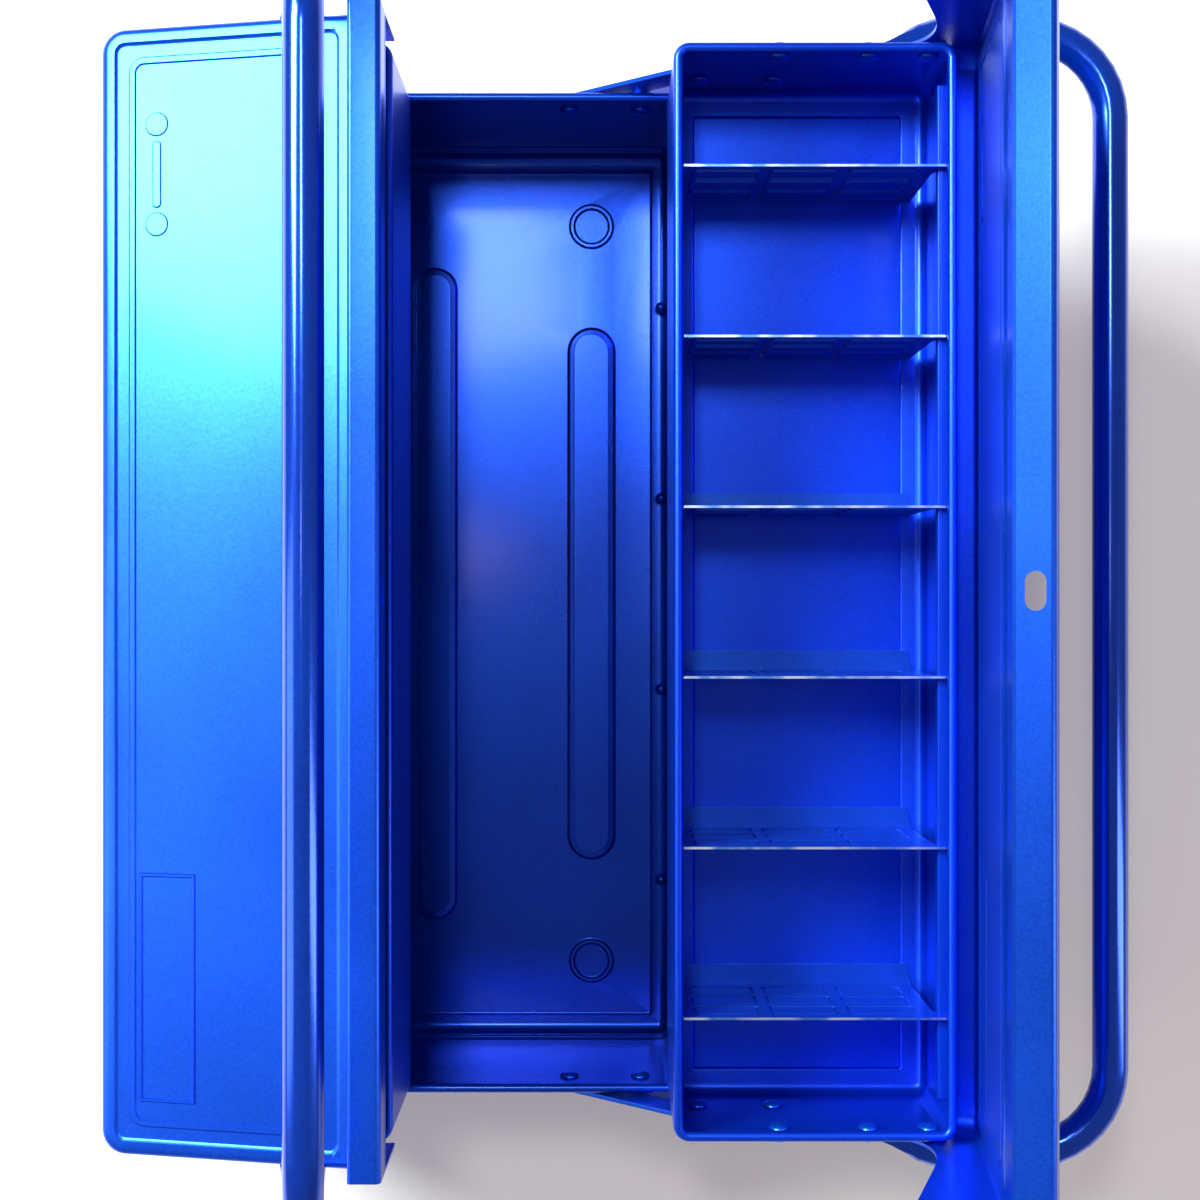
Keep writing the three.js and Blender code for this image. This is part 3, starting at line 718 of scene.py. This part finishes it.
LID_INSIDE = Vector((50 * MM, 0, 150 * MM))
CREST_INSIDE = Vector((20 * MM, 0, 216 * MM))
for label, side in SIDES.items():
    lid_piece(lid_panel(), LID_INSIDE, side, "lid_panel", [f"lid_{label}"])
    lid_piece(lid_crest(), CREST_INSIDE, side, "lid_crest", [])


# ---- Handles ----
# Each handle is one bent steel tube. Its ends are pressed flat, pivot on the base and on the tray,
# and open out into the round tube that carries the grip.
handle_enamel = enamel("handle_enamel", (0.0, 0.03, 0.36), (0.002, 0.07, 0.62), 0.17,
                       grain=0.5, coat=0.4)
HANDLE_SWING = math.radians(96)
HANDLE_SHUT = math.radians(99)
HANDLE_REACH = 133 * MM
HANDLE_CORNER = 34 * MM
TUBE_RADIUS = 7 * MM
FLAT_HALF = (9 * MM, 1.5 * MM)  # half width and half thickness
FLAT_END_STEPS = 5
FLAT_END_TIP = 0.3 * MM
FLAT_SHARES = (0.3, 0.6, 0.82)  # sections between the two pivots
FLAT_SPREAD = (0.9, 1.6)  # how far a pressed section's width and faces go out to square
FLAT_Y = 213.5 * MM
TUBE_Y = 221.5 * MM
FLAT_RUN = 40 * MM
FLARE_RUN = 30 * MM
FLARE_LEAD = 4 * MM  # the tube thickens this far ahead of its outset
ARM_START = 6 * MM
ARM_STEPS = 16
GRIP_STEPS = 9
TUBE_SIDES = 24
joint_at = {j["name"]: Vector(j["pos_m"]) for j in frame["joints"] if "pos_m" in j}


def ease(t):
    """Nought to one, starting and ending gently."""
    t = min(max(t, 0), 1)
    return t * t * (3 - 2 * t)


def handle_stations(side):
    """Sections along one shut handle: centre, width direction, half width, half thickness."""
    base_joint = joint_at["handle_swing_right"]
    tray_joint = joint_at["tray_level_right"]
    base_pivot = Vector((side * base_joint.x, 0, base_joint.z))
    tray_pivot = Vector((side * (tray_joint.x - TRAVEL), 0, tray_joint.z))
    up = Vector((side * math.cos(HANDLE_SHUT), 0, math.sin(HANDLE_SHUT)))
    up_width = Vector((-up.z, 0, up.x))
    low_dir = (tray_pivot - base_pivot).normalized()
    low_width = Vector((-low_dir.z, 0, low_dir.x))
    if low_width.dot(up_width) < 0:
        low_width.negate()
    flat_width, flat_thick = FLAT_HALF
    arm = []
    for sine, cosine in quarter_turn(FLAT_END_STEPS):
        point = base_pivot - low_dir * flat_width * cosine
        arm.append((point, low_width, max(flat_width * sine, FLAT_END_TIP), flat_thick))
    length = (tray_pivot - base_pivot).length
    for share in FLAT_SHARES:
        arm.append((base_pivot + low_dir * length * share, low_width, *FLAT_HALF))
    arm.append((tray_pivot, (low_width + up_width).normalized(), *FLAT_HALF))
    run = HANDLE_REACH - HANDLE_CORNER
    for i in range(1, ARM_STEPS + 1):
        along = ARM_START + (run - ARM_START) * i / ARM_STEPS
        flare = ease((along - FLAT_RUN) / FLARE_RUN)
        swell = ease((along - FLAT_RUN + FLARE_LEAD) / FLARE_RUN)
        point = tray_pivot + up * along
        point.y = (TUBE_Y - FLAT_Y) * flare
        arm.append((point, up_width, flat_width + (TUBE_RADIUS - flat_width) * flare,
                    flat_thick + (TUBE_RADIUS - flat_thick) * swell))
    for sine, cosine in quarter_turn(GRIP_STEPS)[1:]:
        point = tray_pivot + up * (run + HANDLE_CORNER * sine)
        point.y = TUBE_Y - FLAT_Y - HANDLE_CORNER * (1 - cosine)
        arm.append((point, up_width, TUBE_RADIUS, TUBE_RADIUS))
    front = [(Vector((p.x, -(FLAT_Y + p.y), p.z)), w, a, b) for p, w, a, b in arm]
    back = [(Vector((p.x, FLAT_Y + p.y, p.z)), w, a, b) for p, w, a, b in reversed(arm)]
    return front + back, base_pivot


for label, side in SIDES.items():
    stations, base_pivot = handle_stations(side)
    bm = bmesh.new()
    last = first = None
    for i, (point, width_way, half_width, half_thick) in enumerate(stations):
        before = stations[max(i - 1, 0)][0]
        after = stations[min(i + 1, len(stations) - 1)][0]
        heading = (after - before).normalized()
        thick_way = heading.cross(width_way).normalized()
        made = bmesh.ops.create_circle(bm, cap_ends=False, radius=1, segments=TUBE_SIDES)
        stand = Matrix.Identity(4)
        ways = (width_way * half_width, thick_way * half_thick, heading, point)
        for column, way in enumerate(ways):
            stand.col[column].xyz = way
        flatness = 1 - half_thick / half_width
        for v in made["verts"]:
            # a pressed end is flat on both faces with rounded edges
            stretch = 1 + flatness * FLAT_SPREAD[0] * abs(v.co.y) ** 0.5 * (1 - abs(v.co.y))
            v.co.y = max(-1, min(1, v.co.y * (1 + flatness * FLAT_SPREAD[1])))
            v.co.x = max(-1, min(1, v.co.x * stretch))
        bmesh.ops.transform(bm, matrix=stand, verts=made["verts"])
        now = list({e for v in made["verts"] for e in v.link_edges})
        if last:
            bmesh.ops.bridge_loops(bm, edges=last + now)
        first = first or now
        last = now
    bmesh.ops.edgeloop_fill(bm, edges=first)
    bmesh.ops.edgeloop_fill(bm, edges=last)
    if side > 0:
        turn = Matrix.Rotation(HANDLE_SWING, 4, "Y")
        place = Matrix.Translation(base_pivot) @ turn @ Matrix.Translation(-base_pivot)
        bmesh.ops.transform(bm, matrix=place, verts=bm.verts)
    finish_mesh(bm, f"handle_tube_{label}", f"handle_body_{label}", [handle_enamel],
                [f"handle_{label}"])


# ---- Links and straps ----
# Flat steel strips with round ends: the inner link of each parallelogram, and the strap on the
# tray's end that carries the lid's hinge rivet.
link_enamel = enamel("link_enamel", (0.0, 0.045, 0.4), (0.003, 0.1, 0.75), 0.3)
LINK_HALF = 7 * MM
LINK_ROUNDING = 0.35 * MM
END_WELD = 0.02 * MM


def flat_strip(name, start, stop, y_low, y_high, body, node):
    """A round-ended strip between two pivots, drawn flat, raised to its thickness and stood up."""
    bm = bmesh.new()
    run = Vector((stop.x - start.x, 0, stop.z - start.z))
    edges = ring(bm, -LINK_HALF, -LINK_HALF, run.length + LINK_HALF, LINK_HALF,
                 LINK_HALF - ROUND_END, 0)
    bmesh.ops.edgeloop_fill(bm, edges=edges)
    raised = bmesh.ops.extrude_face_region(bm, geom=list(bm.faces))
    verts = [g for g in raised["geom"] if isinstance(g, bmesh.types.BMVert)]
    bmesh.ops.translate(bm, verts=verts, vec=(0, 0, y_high - y_low))
    bmesh.ops.remove_doubles(bm, verts=bm.verts, dist=END_WELD)
    rims = [e for e in bm.edges if abs(e.verts[0].co.z - e.verts[1].co.z) < WELD_DISTANCE]
    bmesh.ops.bevel(
        bm, geom=rims, offset=LINK_ROUNDING, segments=2, affect="EDGES", profile=0.5, material=-1)
    way = run.normalized()
    stand = Matrix(((way.x, -way.z, 0, start.x), (0, 0, 1, y_low), (way.z, way.x, 0, start.z),
                    (0, 0, 0, 1)))
    bmesh.ops.transform(bm, matrix=stand, verts=bm.verts)
    finish_mesh(bm, name, body, [link_enamel], [node])


for label, side in SIDES.items():
    foot = joint_at[f"link_swing_{label}"]
    reach = joint_at[f"tray_level_{label}"] - joint_at[f"handle_swing_{label}"]
    for end in ("front", "back"):
        node = f"inner_link_{label}_{end}"
        low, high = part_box(node)
        flat_strip(f"link_bar_{label}_{end}", foot, foot + reach, low.y, high.y,
                   f"link_body_{label}", node)
        node = f"lid_strap_{label}_{end}"
        low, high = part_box(node)
        level = (low.z + high.z) / 2
        flat_strip(f"strap_bar_{label}_{end}", Vector((low.x + LINK_HALF, 0, level)),
                   Vector((high.x - LINK_HALF, 0, level)), low.y, high.y,
                    f"tray_body_{label}", node)


# ---- Rivets ----
# Domed steel rivets, painted over with the rest. The handle's carry a collar between its flat
# end and the box.
rivet_enamel = enamel("rivet_enamel", (0.0, 0.05, 0.46), (0.01, 0.16, 0.92), 0.26)
HEAD_RADIUS = 4 * MM
HEAD_HEIGHT = 1.8 * MM
SHANK_RADIUS = 2.6 * MM
COLLAR_RADIUS = 4.4 * MM
COLLAR_SPAN = (206.3 * MM, 211.7 * MM)
DOME_STEPS = 5
TURN_STEPS = 24
RIVET_HOLDERS = {
    "link_base_rivet": "base", "handle_base_rivet": "base", "link_tray_rivet": "tray",
    "handle_tray_rivet": "tray", "lid_rivet": "tray", "strap_rivet": "tray",
    "strap_outer_rivet": "tray",
}


def rivet(name, node, body, collar):
    """A rivet turned about its own axis: a dome, the shank, any collar and the other dome."""
    low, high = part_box(node)
    inner, outer = sorted((abs(low.y), abs(high.y)))
    dome = [(HEAD_RADIUS * sine, HEAD_HEIGHT * cosine) for sine, cosine in quarter_turn(DOME_STEPS)]
    profile = [(r, inner + HEAD_HEIGHT - h) for r, h in dome]
    profile.append((SHANK_RADIUS, inner + HEAD_HEIGHT))
    if collar:
        near, far = COLLAR_SPAN
        profile += [(SHANK_RADIUS, near), (COLLAR_RADIUS, near)]
        profile += [(COLLAR_RADIUS, far), (SHANK_RADIUS, far)]
    profile += [(SHANK_RADIUS, outer - HEAD_HEIGHT)]
    profile += [(r, outer - HEAD_HEIGHT + h) for r, h in reversed(dome)]
    end = 1 if high.y > 0 else -1
    bm = bmesh.new()
    edges = chain(bm, [(r, end * y, 0) for r, y in profile])
    verts = list({v for e in edges for v in e.verts})
    bmesh.ops.spin(
        bm, geom=verts + edges, cent=(0, 0, 0), axis=(0, 1, 0), angle=math.tau, steps=TURN_STEPS,
        use_merge=True)
    bmesh.ops.remove_doubles(bm, verts=bm.verts, dist=WELD_DISTANCE)
    bmesh.ops.translate(bm, verts=bm.verts, vec=((low.x + high.x) / 2, 0, (low.z + high.z) / 2))
    finish_mesh(bm, name, body, [rivet_enamel], [node])


for label in SIDES:
    for end in ("front", "back"):
        for kind, holder in RIVET_HOLDERS.items():
            body = "base" if holder == "base" else f"tray_body_{label}"
            rivet(f"{kind}_head_{label}_{end}", f"{kind}_{label}_{end}", body,
                  kind.startswith("handle"))
